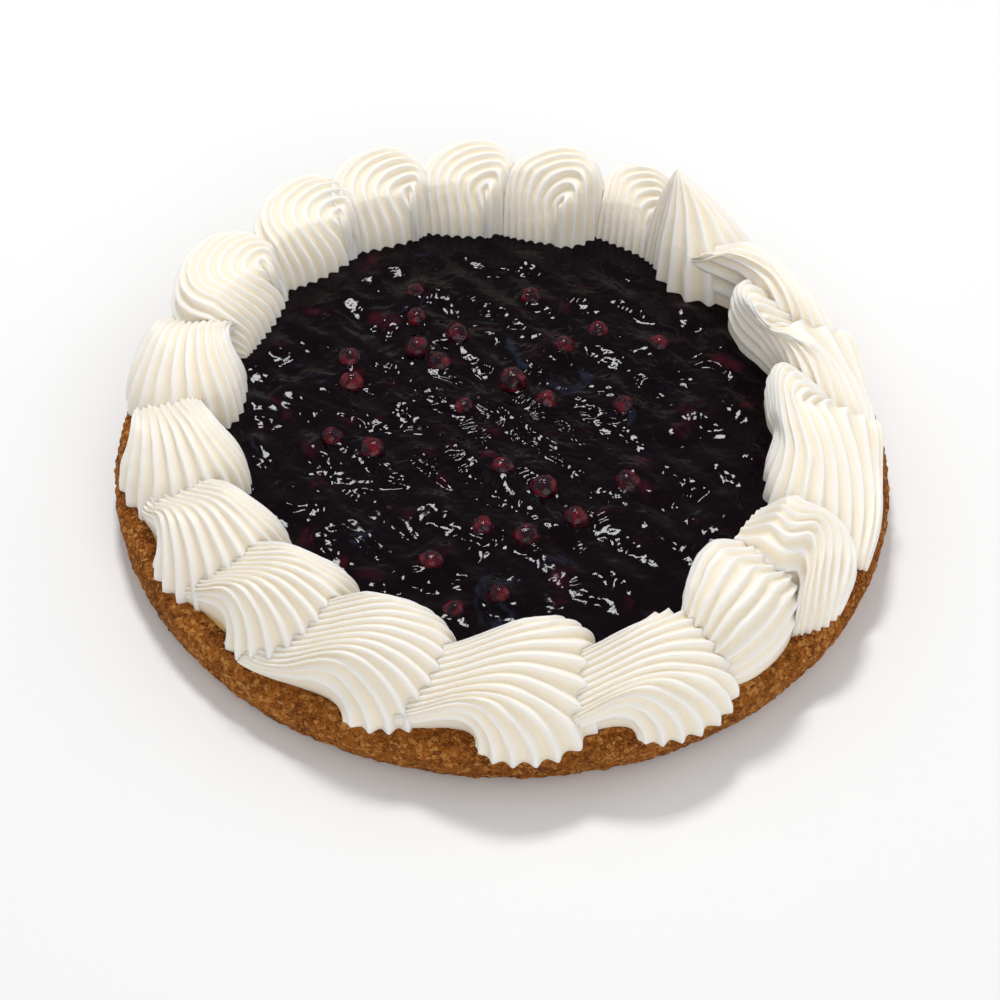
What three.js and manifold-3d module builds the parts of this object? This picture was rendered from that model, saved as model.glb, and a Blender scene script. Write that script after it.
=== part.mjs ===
// Whole blueberry cheesecake: crumb crust, filling, dark berry gel with half-sunk berries and a
// border of nineteen overlapping piped cream shells.  Millimetres, +Z up, origin under the centre.
import * as THREE from 'three';
import { mergeVertices } from 'three/addons/utils/BufferGeometryUtils.js';
import Module from 'manifold-3d';

// ---- driving dimensions (mm) ----
const CRUST_R = 114.5;        // widest radius of the crust
const CRUST_BASE_R = 112.3;   // radius of the foot
const CRUST_H = 15.7;         // height of the flat rim
const CRUMB = 0.35;           // crumb relief on the wall
const GAP = 0.3;              // clearance between separate pieces
const FILL_R = 108.0;         // foot of the filling on the crust
const FILL_DISH = 19.0;       // level of the filling under the gel
const GEL_R = 91.5;           // radius of the gel
const GEL_Z = 26.0;           // level of the gel
const GEL_FLAT_R = 72.0;      // outside this radius the gel lies flat
const GEL_LUMP = 1.1;         // height of the lumps in the gel
const BORDER_R = 97.0;        // middle radius of the cream border
const RIM_R = 109.0;          // outside this radius the cream stands on the rim
const RIDGES = 10;            // ridges left by the star nozzle across one shell
const RIDGE_MID = 1.5;        // ridge depth on the crown
const RIDGE_FOOT = 2.4;       // ridge depth at the toothed foot
const ROUND = 40;             // facets round the filling and the gel
const CUT_GAP = 0.35;         // how far a lower shell keeps off the one lying over it

const rad = THREE.MathUtils.degToRad;
const lerp = THREE.MathUtils.lerp;
const clamp = THREE.MathUtils.clamp;
const hash = (a, b) => {
  const v = Math.sin(a * 127.1 + b * 311.7) * 43758.5453;
  return v - Math.floor(v);
};

const wasm = await Module();
wasm.setup();
const group = new THREE.Group();
group.name = 'blueberry_cheesecake';

const LOOK = {
  crust: new THREE.Color(0.62, 0.34, 0.13),
  filling: new THREE.Color(0.80, 0.60, 0.30),
  gel: new THREE.Color(0.03, 0.02, 0.05),
  berry: new THREE.Color(0.16, 0.03, 0.07),
  cream: new THREE.Color(0.93, 0.91, 0.84),
};

function toSolid(points, faces) {
  let g = new THREE.BufferGeometry();
  g.setAttribute('position', new THREE.Float32BufferAttribute(points.flat(), 3));
  g.setIndex(faces.flat());
  g = mergeVertices(g, 1e-4);
  return new wasm.Manifold(new wasm.Mesh({
    numProp: 3,
    vertProperties: new Float32Array(g.attributes.position.array),
    triVerts: new Uint32Array(g.index.array),
  }));
}

function geometrySolid(geometry) {
  geometry.deleteAttribute('normal');
  geometry.deleteAttribute('uv');
  const g = mergeVertices(geometry, 1e-4);
  return new wasm.Manifold(new wasm.Mesh({
    numProp: 3,
    vertProperties: new Float32Array(g.attributes.position.array),
    triVerts: new Uint32Array(g.index.array),
  }));
}

function largest(solid) {
  return solid.decompose().sort((a, b) => b.volume() - a.volume())[0];
}

function addNode(name, solid, look, roughness) {
  const m = solid.getMesh();
  let g = new THREE.BufferGeometry();
  const xyz = new Float32Array(m.numVert * 3);
  for (let i = 0; i < m.numVert; i++) {
    for (let k = 0; k < 3; k++) xyz[3 * i + k] = m.vertProperties[m.numProp * i + k];
  }
  g.setAttribute('position', new THREE.BufferAttribute(xyz, 3));
  g.setIndex(Array.from(m.triVerts));
  g = mergeVertices(g, 1e-3);
  g.computeVertexNormals();
  const mesh = new THREE.Mesh(g, new THREE.MeshStandardMaterial({ color: look, roughness }));
  mesh.name = name;
  group.add(mesh);
}

// ---- solids of revolution, with an optional relief ----
// profile: [r, z] from the axis at the bottom, round the outside, to the axis at the top
function turned(profile, segments, relief) {
  const points = [], faces = [], ring = [];
  profile.forEach(([r, z], k) => {
    if (r === 0) {
      ring.push([points.length]);
      points.push([0, 0, z]);
      return;
    }
    ring.push([]);
    for (let i = 0; i < segments; i++) {
      const a = 2 * Math.PI * i / segments;
      const [dr, dz] = relief ? relief(r, a, k, i) : [0, 0];
      ring[k].push(points.length);
      points.push([(r + dr) * Math.cos(a), (r + dr) * Math.sin(a), z + dz]);
    }
  });
  for (let k = 0; k + 1 < ring.length; k++) {
    const lo = ring[k], hi = ring[k + 1];
    for (let i = 0; i < segments; i++) {
      const j = (i + 1) % segments;
      if (lo.length === 1) faces.push([lo[0], hi[j], hi[i]]);
      else if (hi.length === 1) faces.push([lo[i], lo[j], hi[0]]);
      else faces.push([lo[i], lo[j], hi[j]], [lo[i], hi[j], hi[i]]);
    }
  }
  return toSolid(points, faces);
}

// ---- crust: solid disc with an upright crumbly wall and a rounded shoulder ----
const crustProfile = [
  [0, 0], [CRUST_BASE_R - 1.8, 0], [CRUST_BASE_R, 1.4], [CRUST_BASE_R + 1.4, 5],
  [CRUST_R, 9.5], [CRUST_R - 0.5, 12.8], [CRUST_R - 2.6, CRUST_H - 0.3],
  [CRUST_R - 5, CRUST_H], [0, CRUST_H],
];
const crumbs = (r, a, k, i) => (k < 2 || k > 6 ? [0, 0]
  : [-CRUMB * 2 * hash(i, k), k < 6 ? CRUMB * (hash(k, i) - 0.5) : 0]);
addNode('graham_crust', turned(crustProfile, 60, crumbs), LOOK.crust, 0.9);

// ---- level the cream stands on: gel inside, sloping filling, rim outside ----
const standZ = (r) => (r < GEL_R ? GEL_Z
  : lerp(GEL_Z, CRUST_H + GAP, clamp((r - GEL_R) / (RIM_R - GEL_R), 0, 1)));

const fillRim = GEL_R + GAP + 1.2;
const fillTop = standZ(fillRim) - GAP - 0.1;
addNode('cheesecake_filling', turned([
  [0, CRUST_H + GAP], [FILL_R - 1, CRUST_H + GAP], [fillRim, fillTop],
  [GEL_R + GAP, fillTop], [GEL_R + GAP, FILL_DISH], [0, FILL_DISH],
], ROUND), LOOK.filling, 0.7);

// ---- berries: plan place, radius and how far the middle stands over the gel ----
const BERRIES = [
  [-15, 35, 4.2, 1.2], [-47, 23, 4.0, 0.9], [-46, 14, 4.1, 1.1], [2, 16, 4.6, 1.6],
  [12, 8, 3.9, 0.9], [-38, -14, 4.4, 1.2], [-50, -10, 3.7, 0.7], [0, -20, 3.9, 0.9],
  [12, -27, 4.2, 1.2], [46, 35, 3.9, 0.8], [28, 40, 3.6, 0.7], [21, -39, 4.2, 1.3],
  [7, -47, 4.0, 0.9], [-12, -74, 3.6, 0.5], [0, -69, 3.4, 0.5], [-19, -57, 4.0, 0.8],
  [-28, 43, 3.6, 0.6], [-27, 29, 4.1, 1.0], [-20, 23, 3.7, 0.7], [17, 32, 3.7, 0.7],
  [35, 7, 3.6, 0.7], [36, -24, 4.1, 0.9], [-5, -43, 3.7, 0.7], [-12, 5, 3.5, 0.5],
  [-29, 55, 3.4, 0.5], [7, 54, 3.5, 0.6],
];

// ---- gel: lumpy disc, drawn up round every berry ----
const lumps = (x, y) => GEL_LUMP * (0.40 * Math.sin(0.21 * x + 0.9 * Math.sin(0.17 * y))
  + 0.35 * Math.sin(0.27 * y + 1.3 * Math.sin(0.15 * x + 1)) + 0.25 * Math.sin(0.43 * (x + y)));
function gelRise(x, y) {
  const r = Math.hypot(x, y);
  let z = lumps(x, y);
  for (const [bx, by, br] of BERRIES) {
    z += 0.9 * Math.exp(-((x - bx) ** 2 + (y - by) ** 2) / (1.6 * br * br));
  }
  return z * (1 - THREE.MathUtils.smoothstep(r, GEL_FLAT_R - 14, GEL_FLAT_R)) - 0.0;
}
const gelRings = [90.5, 72, 62, 52, 42, 32, 22, 11];
const gelProfile = [[0, FILL_DISH + GAP], [GEL_R, FILL_DISH + GAP], [GEL_R, GEL_Z - GAP - 0.6],
  ...gelRings.map((r) => [r, GEL_Z - GAP]), [0, GEL_Z - GAP]];
const gelRelief = (r, a, k) => [0, k < 3 ? 0 : gelRise(r * Math.cos(a), r * Math.sin(a))];
let gel = turned(gelProfile, ROUND, gelRelief);

BERRIES.forEach(([x, y, r, up], i) => {
  const make = (grow) => {
    const g = new THREE.SphereGeometry(r + grow, 6, 4);
    g.rotateX(Math.PI / 2);
    g.scale(1, 0.97, 0.93);
    g.rotateZ(6.28 * hash(i, 3));
    g.translate(x, y, GEL_Z - GAP + gelRise(x, y) - 0.35 * r + up);
    return geometrySolid(g);
  };
  gel = gel.subtract(make(GAP + 0.08));
  addNode(`blueberry_${String(i + 1).padStart(2, '0')}`, make(0), LOOK.berry, 0.15);
});
addNode('blueberry_gel', largest(gel), LOOK.gel, 0.06);

// ---- piped cream shells ----
// Every shell is a sheet of nozzle strokes.  s runs along a stroke, t = -1..1 across them
// (+1 toward the middle of the cake).  Plan places are (a, b): a along the piping direction,
// b inward from BORDER_R, both mm.  'dir' is -1 when strokes run clockwise seen from above.

// strokes that rise from teeth on the gel and bend round a small curl
function curlStroke(c, s, t) {
  const u = (1 - t) / 2;
  const r = lerp(c.r[0], c.r[1], u);
  const h0 = rad(lerp(c.from[0], c.from[1], u)), h1 = rad(lerp(c.to[0], c.to[1], u));
  const leg = lerp(c.leg[0], c.leg[1], u), out = lerp(c.end[0], c.end[1], u);
  const d = s * (r * (h1 - h0) + leg + out);
  if (d < leg) {
    return [c.mid[0] + r * Math.sin(h0) - (leg - d) * Math.cos(h0),
      c.mid[1] - r * Math.cos(h0) - (leg - d) * Math.sin(h0)];
  }
  const h = Math.min(h1, h0 + (d - leg) / r);
  const on = Math.max(0, d - leg - r * (h1 - h0));
  return [c.mid[0] + r * Math.sin(h) + on * Math.cos(h), c.mid[1] - r * Math.cos(h) + on * Math.sin(h)];
}

// strokes that leave a narrow tail side by side and turn off to both sides
function fanStroke(c, s, t) {
  const h0 = rad((c.spread ?? 8) * t);
  const h1 = rad(t > 0 ? c.turn[0] : -c.turn[1]) * Math.abs(t);
  const side = t > 0 ? c.len[1] : c.len[2];
  const length = lerp(c.len[0], side, Math.abs(t) ** 1.6);
  const steps = 24;
  let a = c.tail[0], b = c.tail[1] + c.width * t;
  for (let i = 0; i < s * steps; i++) {
    const part = Math.min(1, s * steps - i);
    const h = lerp(h0, h1, ((i + part / 2) / steps) ** 1.2);
    a += Math.cos(h) * length * part / steps;
    b += Math.sin(h) * length * part / steps;
  }
  return [a, b];
}

// strokes of a folded ribbon: inward leg, turn round a lobe, crossing run, turn forward, run on
function foldStroke(c, s, t) {
  const u = (1 - t) / 2;
  const ra = lerp(c.lobeR[0], c.lobeR[1], u), rb = lerp(c.r[0], c.r[1], u);
  const mx = lerp(c.mid[0], c.outer[0], u), my = lerp(c.mid[1], c.outer[1], u);
  const apart = Math.hypot(mx - c.lobe[0], my - c.lobe[1]);
  const to = Math.atan2(my - c.lobe[1], mx - c.lobe[0]);
  const h = to - Math.asin(Math.min(0.999, (ra + rb) / apart));
  const run = apart * Math.cos(to - h);
  const hIn = rad(c.inward), hEnd = rad(lerp(c.to[0], c.to[1], u));
  const leg = lerp(c.leg[0], c.leg[1], u), out = lerp(c.end[0], c.end[1], u);
  let d = s * (leg + ra * (hIn - h) + run + rb * (hEnd - h) + out);
  const onLobe = (q) => [c.lobe[0] - ra * Math.sin(q), c.lobe[1] + ra * Math.cos(q)];
  if (d < leg) {
    const [x, y] = onLobe(hIn);
    return [x - (leg - d) * Math.cos(hIn), y - (leg - d) * Math.sin(hIn)];
  }
  d -= leg;
  if (d < ra * (hIn - h)) return onLobe(hIn - d / ra);
  d -= ra * (hIn - h);
  if (d < run) {
    const [x, y] = onLobe(h);
    return [x + d * Math.cos(h), y + d * Math.sin(h)];
  }
  d -= run;
  const q = Math.min(hEnd, h + d / rb), on = Math.max(0, d - rb * (hEnd - h));
  return [mx + rb * Math.sin(q) + on * Math.cos(q), my - rb * Math.cos(q) + on * Math.sin(q)];
}

// strokes that run down all round from a pulled-up peak
function peakStroke(c, s, t) {
  const h = Math.PI * t;
  const reach = c.reach[0] * Math.max(0, Math.cos(h)) ** 1.3
    + c.reach[1] * Math.abs(Math.sin(h)) ** 1.5 + c.reach[2] * Math.max(0, -Math.cos(h)) ** 1.3;
  const bend = h + rad(c.bend) * s * s * Math.sin(h);
  return [c.tail[0] + s * reach * Math.cos(bend), c.tail[1] + s * reach * Math.sin(bend)];
}

const STROKE = { curl: curlStroke, fan: fanStroke, fold: foldStroke, peak: peakStroke };
const foot = (v, p) => Math.sqrt(Math.max(0, 1 - v ** p));
function rise(c, s, t) {
  const ease = THREE.MathUtils.smoothstep(s, 0, 0.4);
  if (c.kind === 'peak') return c.high * (1 - s ** 1.15) ** 0.95;
  if (c.kind === 'fan') {
    return c.high * lerp(0.5, 1, ease) * foot(s, 3) * (0.15 + 0.85 * foot(Math.abs(t), 2.6));
  }
  if (c.kind === 'curl') {
    return c.high * foot(1 - s, 3.2) * lerp(1, foot(s, 8), Math.max(0, t))
      * (t < 0 ? foot(-t, 3) : 1 - 0.4 * t * t);
  }
  const open = THREE.MathUtils.smoothstep(s, 0.35, 0.75);
  const along = lerp(0.55, 1, THREE.MathUtils.smoothstep(s, 0, 0.3)) * foot(s, 6);
  const outside = lerp(0.8, foot(-Math.min(0, t), 2.6), open);
  return c.high * along * (t < 0 ? lerp(1, outside, Math.min(1, -t * 2.5)) : foot(t, 2.6));
}

// strokes lie at even distances round the section, so the outer ones run down its sides
const warp = (t) => Math.sin(1.48 * t) / Math.sin(1.48);

function creamPoint(c, s, across) {
  const t = c.kind === 'peak' ? across : warp(across);
  let [a, b] = STROKE[c.kind](c, s, t);
  let r = BORDER_R - b;
  if (r > 105) r = 105 + 8 * Math.tanh((r - 105) / 8);
  if (r < 84) r = 84 - 9 * Math.tanh((84 - r) / 9);
  const az = rad((c.az[0] + c.az[1]) / 2) + c.dir * a / BORDER_R;
  return new THREE.Vector3(r * Math.cos(az), r * Math.sin(az), standZ(r) + rise(c, s, t));
}

function creamNormal(c, s, t) {
  const e = 0.02;
  const ds = creamPoint(c, Math.min(1, s + e), t).sub(creamPoint(c, Math.max(0, s - e), t));
  const dt = creamPoint(c, s, Math.min(1, t + e)).sub(creamPoint(c, s, Math.max(-1, t - e)));
  return ds.cross(dt).multiplyScalar(c.dir).normalize();
}

// closed solid of one shell: the sheet with walls down into the cake and a flat underside.
// keepOff = 0 gives the ridged shell, > 0 the smooth hull used to trim the shell beneath
function shellSolid(c, keepOff) {
  const n = c.ridges ?? RIDGES;
  const across = [];
  for (let j = 0; j <= 2 * n; j++) {
    if (!keepOff || j % 2 === 1 || j === 0 || j === 2 * n) across.push(j);
  }
  const wrap = c.kind === 'peak';
  if (wrap) across.pop();
  const along = c.kind === 'fold' ? [0, 0.13, 0.26, 0.38, 0.5, 0.62, 0.75, 0.88, 1]
    : wrap ? [0.04, 0.2, 0.42, 0.64, 0.85, 1] : c.kind === 'fan'
      ? [0, 0.2, 0.42, 0.62, 0.8, 0.93, 1] : [0, 0.05, 0.16, 0.32, 0.52, 0.76, 1];
  const grid = along.map((s) => across.map((j) => {
    const t = j / n - 1;
    const p = creamPoint(c, s, t);
    const tooth = c.kind === 'curl' ? 1 - s : s;
    const pitch = creamPoint(c, s, Math.min(1, t + 1 / n)).distanceTo(creamPoint(c, s, Math.max(-1, t - 1 / n)));
    const fade = c.kind === 'curl' ? 1 - 0.8 * THREE.MathUtils.smoothstep(s, 0.6, 1) : 1;
    const depth = fade * Math.min(lerp(RIDGE_MID, RIDGE_FOOT, tooth ** 3), 0.34 * pitch * (1 - 0.6 * t ** 8));
    const side = !wrap && (j === 0 || j === 2 * n) ? 0 : j % 2 === 1 ? 0.5 : -0.5;
    const crest = keepOff ? depth * 0.5 + keepOff : depth * side;
    return p.addScaledVector(creamNormal(c, clamp(s, 0.02, 0.985), clamp(t, -0.97, 0.97)), crest);
  }));
  const rows = grid.length, cols = grid[0].length;
  if (keepOff && !wrap) {
    for (const [row, next] of [[0, 1], [rows - 1, rows - 2]]) {
      grid[row].forEach((p, j) => {
        const away = p.clone().sub(grid[next][j]).setZ(0).normalize();
        p.addScaledVector(away, keepOff);
      });
    }
  }
  const points = [], faces = [];
  const id = (i, j) => i * cols + (wrap ? j % cols : j);
  grid.forEach((row) => row.forEach((p) => points.push([p.x, p.y, p.z])));
  const edge = [];
  if (wrap) {
    const top = points.length;
    const tip = creamPoint(c, 0, 0);
    points.push([tip.x, tip.y, tip.z + (keepOff ?? 0)]);
    for (let j = 0; j < cols; j++) faces.push([top, id(0, j), id(0, j + 1)]);
    for (let j = 0; j < cols; j++) edge.push(id(rows - 1, j));
  } else {
    for (let j = 0; j < cols; j++) edge.push(id(0, j));
    for (let i = 1; i < rows; i++) edge.push(id(i, cols - 1));
    for (let j = cols - 2; j >= 0; j--) edge.push(id(rows - 1, j));
    for (let i = rows - 2; i > 0; i--) edge.push(id(i, 0));
    edge.reverse();
  }
  for (let i = 0; i + 1 < rows; i++) {
    for (let j = 0; j + (wrap ? 0 : 1) < cols; j++) {
      faces.push([id(i, j), id(i + 1, j), id(i + 1, j + 1)], [id(i, j), id(i + 1, j + 1), id(i, j + 1)]);
    }
  }
  const floorZ = CRUST_H - 6;
  const below = edge.map((e) => {
    points.push([points[e][0], points[e][1], floorZ]);
    return points.length - 1;
  });
  for (let k = 0; k < edge.length; k++) {
    const m = (k + 1) % edge.length;
    faces.push([edge[k], below[k], below[m]], [edge[k], below[m], edge[m]]);
  }
  const flat = below.map((v) => new THREE.Vector2(points[v][0], points[v][1]));
  const turn = THREE.ShapeUtils.area(flat) > 0 ? 1 : -1;
  for (const [x, y, z] of THREE.ShapeUtils.triangulateShape(flat, [])) {
    faces.push(turn > 0 ? [below[x], below[z], below[y]] : [below[x], below[y], below[z]]);
  }
  const solid = toSolid(points, c.dir > 0 ? faces : faces.map(([x, y, z]) => [x, z, y]));
  return solid;
}

const curl = (name, from, to, o) => ({ name, az: [from, to], kind: 'curl', dir: -1, end: [0, 0], ...o });
const fan = (name, from, to, o) => ({ name, az: [from, to], kind: 'fan', dir: 1, width: 9, high: 22, ...o });
const fold = (name, from, to, o) => ({ name, az: [from, to], kind: 'fold', dir: -1, ridges: 10, ...o });

// in piping order, each one lying over the end of the one before it
const SHELLS = [
  curl('n9', 17.6, 42.0, { mid: [-4, 14], r: [3, 33], from: [-20, -70],
    to: [25, 45], leg: [24, 10], high: 23, ridges: 9 }),
  fold('n8', 353.5, 377.6, { lobe: [-42, 13], lobeR: [7, 0.3], mid: [-4, 20], outer: [-4, 20],
    r: [2, 36], inward: 115, leg: [8, 16], to: [0, 28], end: [0, 4], high: 21 }),
  fold('n7', 333.9, 353.5, { lobe: [-31, 16], lobeR: [7, 0.3], mid: [2, 21], outer: [-11, -1],
    r: [2, 14], inward: 115, leg: [6, 12], to: [80, 3], end: [0, 20], high: 21 }),
  fan('n6', 317.6, 333.9, { dir: -1, tail: [-22, -3], width: 13, turn: [105, 50], len: [32, 22, 28] }),
  fold('n5', 302.7, 317.6, { lobe: [-14, 5], lobeR: [9, 0.3], mid: [14, 18], outer: [-3, -4],
    r: [2, 11], inward: 130, leg: [6, 12], to: [20, 8], end: [0, 16], high: 20 }),
  fan('n4', 282.7, 302.7, { tail: [-15, -5], width: 12, turn: [85, 65], len: [38, 12, 15] }),
  fan('n3', 260.9, 282.7, { tail: [-18, -6], width: 12, turn: [85, 80], len: [40, 12, 16] }),
  fan('n2', 241.6, 260.9, { tail: [-15, -5], width: 12, turn: [85, 65], len: [37, 12, 15] }),
  fan('n1', 225.0, 241.6, { tail: [-14, -5], width: 12, turn: [85, 65], len: [35, 12, 15] }),
  fan('A', 207.6, 225.0, { tail: [-16, -2], width: 12, turn: [85, 65], len: [36, 12, 15] }),
  fan('B', 186.1, 207.6, { tail: [-20, 0], width: 11, turn: [85, 80], len: [40, 12, 14] }),
  fan('C', 162.4, 186.1, { tail: [-26, -1], width: 14, turn: [80, 75], len: [46, 14, 18] }),
  curl('C2', 139.6, 162.4, { mid: [5, 5], r: [2, 26], from: [-125, -65], to: [100, 22],
    leg: [12, 14], end: [6, 0], high: 26 }),
  curl('D', 121.9, 139.6, { mid: [8, 7], r: [2, 28], from: [-112, -85], to: [110, 22],
    leg: [9, 12], end: [7, 0], high: 27 }),
  curl('E', 107.4, 121.9, { mid: [7, 7], r: [2, 26], from: [-105, -92], to: [110, 22],
    leg: [9, 10], end: [7, 0], high: 28 }),
  curl('F', 92.0, 107.4, { mid: [7, 8], r: [2, 27], from: [-95, -95], to: [110, 22],
    leg: [9, 10], end: [7, 0], high: 29 }),
  curl('G', 74.4, 92.0, { mid: [6, 8], r: [2, 27], from: [-95, -95], to: [110, 22],
    leg: [8, 8], end: [7, 0], high: 29 }),
  curl('H', 60.3, 74.4, { mid: [10, 5], r: [3, 22], from: [-97, -93], to: [25, 8],
    leg: [8, 8], high: 25 }),
  { name: 'Z', az: [42.0, 60.3], kind: 'peak', dir: -1, ridges: 12, tail: [-11, 3],
    reach: [30, 15, 6], bend: 25, high: 33 },
];

const ridged = SHELLS.map((c) => shellSolid(c, 0));
const hulls = SHELLS.map((c, i) => shellSolid(c, CUT_GAP)
  .add(ridged[i].translate([0, 0, CUT_GAP / 2])));
const stand = turned([[0, 0], [118, 0], [118, CRUST_H + GAP], [RIM_R, CRUST_H + GAP],
  [GEL_R, GEL_Z], [0, GEL_Z]], ROUND);
SHELLS.forEach((c, i) => {
  let solid = ridged[i].subtract(stand);
  for (let k = i + 1; k < Math.min(i + 3, SHELLS.length); k++) solid = solid.subtract(hulls[k]);
  if (i < 2) solid = solid.subtract(hulls[SHELLS.length - 1]);
  addNode(`cream_shell_${String(i + 1).padStart(2, '0')}`, largest(solid), LOOK.cream, 0.6);
});

export default group;
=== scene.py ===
"""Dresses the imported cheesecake: crumb crust, glossy gel, wet berries and a piped cream border.

Lengths in the piping table are millimetres, as in the CAD source; meshes are made in metres.
"""

import math

import bpy
import numpy as np
from mathutils import Matrix, Vector


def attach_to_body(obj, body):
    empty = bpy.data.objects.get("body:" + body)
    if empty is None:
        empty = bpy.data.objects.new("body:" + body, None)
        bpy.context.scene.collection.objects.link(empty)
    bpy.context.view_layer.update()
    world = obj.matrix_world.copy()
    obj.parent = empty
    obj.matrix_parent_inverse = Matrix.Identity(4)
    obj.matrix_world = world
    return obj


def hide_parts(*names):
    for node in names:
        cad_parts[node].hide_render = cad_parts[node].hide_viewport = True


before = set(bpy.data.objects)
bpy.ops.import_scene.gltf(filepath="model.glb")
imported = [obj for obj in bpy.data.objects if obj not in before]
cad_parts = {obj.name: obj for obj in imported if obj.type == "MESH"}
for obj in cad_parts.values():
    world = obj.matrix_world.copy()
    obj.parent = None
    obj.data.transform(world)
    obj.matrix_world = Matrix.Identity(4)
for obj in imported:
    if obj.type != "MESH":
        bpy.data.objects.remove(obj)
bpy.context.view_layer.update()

bl_info = {
    "name": "Blueberry cheesecake",
    "version": (1, 0, 0),
    "blender": (4, 5, 0),
    "location": "3D View > Sidebar > Cheesecake",
    "description": "Makes the crust, gel, berries and piped cream of a whole cheesecake",
    "category": "Add Mesh",
}

MM = 0.001

# radii and levels of the cake, mm
GEL_R, GEL_TOP, GEL_BOTTOM = 91.5, 25.7, 19.3
BORDER_R = 97.0  # middle radius of the cream border
RIM_R, RIM_TOP = 109.0, 15.7  # the cream stands on the rim from this radius
STAND_IN, STAND_OUT = 26.0, 16.0  # levels under the cream at the gel's edge and at the rim
SHOULDER_R, SHOULDER_FALL = 112.0, 0.6  # the crust's shoulder and its slope from there
CREAM_IN, CREAM_OUT = (84.0, 9.0), (108.0, 12.0)  # radii where cream is held back, and how softly
CREAM_FOOT, CREAM_FOOT_R = 9.7, 106.0  # underside of a cream shell, down inside the cake
PEAK_TIP = 0.4  # the pulled-up point over the highest ring
SHELL_ROWS, POINTS_PER_RIDGE = 84, 12
SHELL_COUNT = 19
BERRY_COUNT = 26
BERRY_SUNK = 0.52  # part of its radius that a berry lies deeper than its given height

# camera and light, metres and watts
CAMERA_DISTANCE, CAMERA_LIFT, CAMERA_ROLL = 0.700, 46.37, 1.97
CAMERA_AIM = (-0.0005, -0.0079, 0.0)
SENSOR, FRAME_SCALE = 36.0, 3.346  # mm, and frame widths that a metre spans at the aim
WORLD_LIGHT = 0.42
FLOOR_SIZE, FLOOR_LEVEL = 3, -0.0004
PANELS = [  # name, place, width and height, power
    ("Key softbox", (-0.12, 0.48, 1.10), (0.24, 0.16), 7.7),
    ("Left panel", (-1.1, 0.1, 0.8), (1.2, 1.0), 1.8),
    ("Front panel", (0.35, -1.3, 0.75), (1.4, 0.8), 7.4),
    ("Right panel", (1.1, 0.3, 0.7), (1.0, 1.0), 3.0),
]


# ---------------------------------------------------------------- node helpers
class Wire:
    """One socket of a node tree; sums and products of wires add Math nodes."""

    def __init__(self, nodes, socket):
        self.nodes, self.socket = nodes, socket

    def math(self, operation, *others):
        values = {0: self, **{i + 1: other for i, other in enumerate(others)}}
        return self.nodes.add("ShaderNodeMath", {"operation": operation}, values)

    def __add__(self, other):
        return self.math("ADD", other)

    __radd__ = __add__

    def __sub__(self, other):
        return self.math("SUBTRACT", other)

    def __rsub__(self, other):
        return self.nodes.add("ShaderNodeMath", {"operation": "SUBTRACT"}, {0: other, 1: self})

    def __mul__(self, other):
        return self.math("MULTIPLY", other)

    __rmul__ = __mul__

    def __rtruediv__(self, other):
        return self.nodes.add("ShaderNodeMath", {"operation": "DIVIDE"}, {0: other, 1: self})

    def __pow__(self, other):
        return self.math("POWER", other)

    def clamped(self):
        """The value kept between 0 and 1."""
        return self.math("MAXIMUM", 0.0).math("MINIMUM", 1.0)

    def between(self, low, high):
        """0 below low, 1 above high, smooth in between."""
        return self.nodes.add(
            "ShaderNodeMapRange",
            {"interpolation_type": "SMOOTHSTEP"},
            {"Value": self, "From Min": low, "From Max": high},
        )


class Nodes:
    """Adds nodes to one tree."""

    def __init__(self, tree):
        self.tree = tree
        tree.nodes.clear()

    def add(self, kind, settings=None, values=None, out=0):
        """A node of that type, its settings made first, then its sockets set or linked."""
        node = self.tree.nodes.new(kind)
        for key, value in (settings or {}).items():
            setattr(node, key, value)
        for key, value in (values or {}).items():
            if isinstance(value, Wire):
                self.tree.links.new(value.socket, node.inputs[key])
            elif node.inputs[key].type == "RGBA":
                node.inputs[key].default_value = (*value, 1.0)
            else:
                node.inputs[key].default_value = value
        return Wire(self, node.outputs[out]) if node.outputs else None

    def mix(self, factor, first, second):
        """A colour between two colours."""
        return self.add(
            "ShaderNodeMix", {"data_type": "RGBA"}, {0: factor, 6: first, 7: second}, out=2
        )

    def noise(self, place, scale, detail=2.0, rough=0.5, distortion=0.0):
        """Soft noise from 0 to 1, scale in waves a metre."""
        return self.add(
            "ShaderNodeTexNoise",
            {},
            {"Vector": place, "Scale": scale, "Detail": detail, "Roughness": rough,
             "Distortion": distortion},
        )

    def cells(self, place, scale, out="Distance", feature="F1"):
        """Voronoi cells, scale in cells a metre."""
        return self.add(
            "ShaderNodeTexVoronoi", {"feature": feature}, {"Vector": place, "Scale": scale}, out=out
        )

    def kept(self, name, kind="FLOAT"):
        """What the mesh keeps under that name at each point."""
        return self.add("GeometryNodeInputNamedAttribute", {"data_type": kind}, {"Name": name})

    def scaled(self, vector, factor):
        """A vector times a number."""
        values = {0: vector, "Scale": factor}
        return self.add("ShaderNodeVectorMath", {"operation": "SCALE"}, values)

    def moved(self, geometry, offset):
        """The geometry with every point moved by its own offset."""
        return self.add("GeometryNodeSetPosition", {}, {"Geometry": geometry, "Offset": offset})

    def real(self, geometry):
        """The geometry as real mesh."""
        return self.add("GeometryNodeRealizeInstances", {}, {"Geometry": geometry})


def shader(name):
    """A new material, its nodes, its shader node and the wire of its Object coordinates."""
    material = bpy.data.materials.new(name)
    material.use_nodes = True
    nodes = Nodes(material.node_tree)
    surface = nodes.add("ShaderNodeBsdfPrincipled")
    principled = surface.socket.node
    nodes.add("ShaderNodeOutputMaterial", {}, {"Surface": surface})
    place = nodes.add("ShaderNodeTexCoord", out="Object")
    return material, nodes, principled, place


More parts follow.
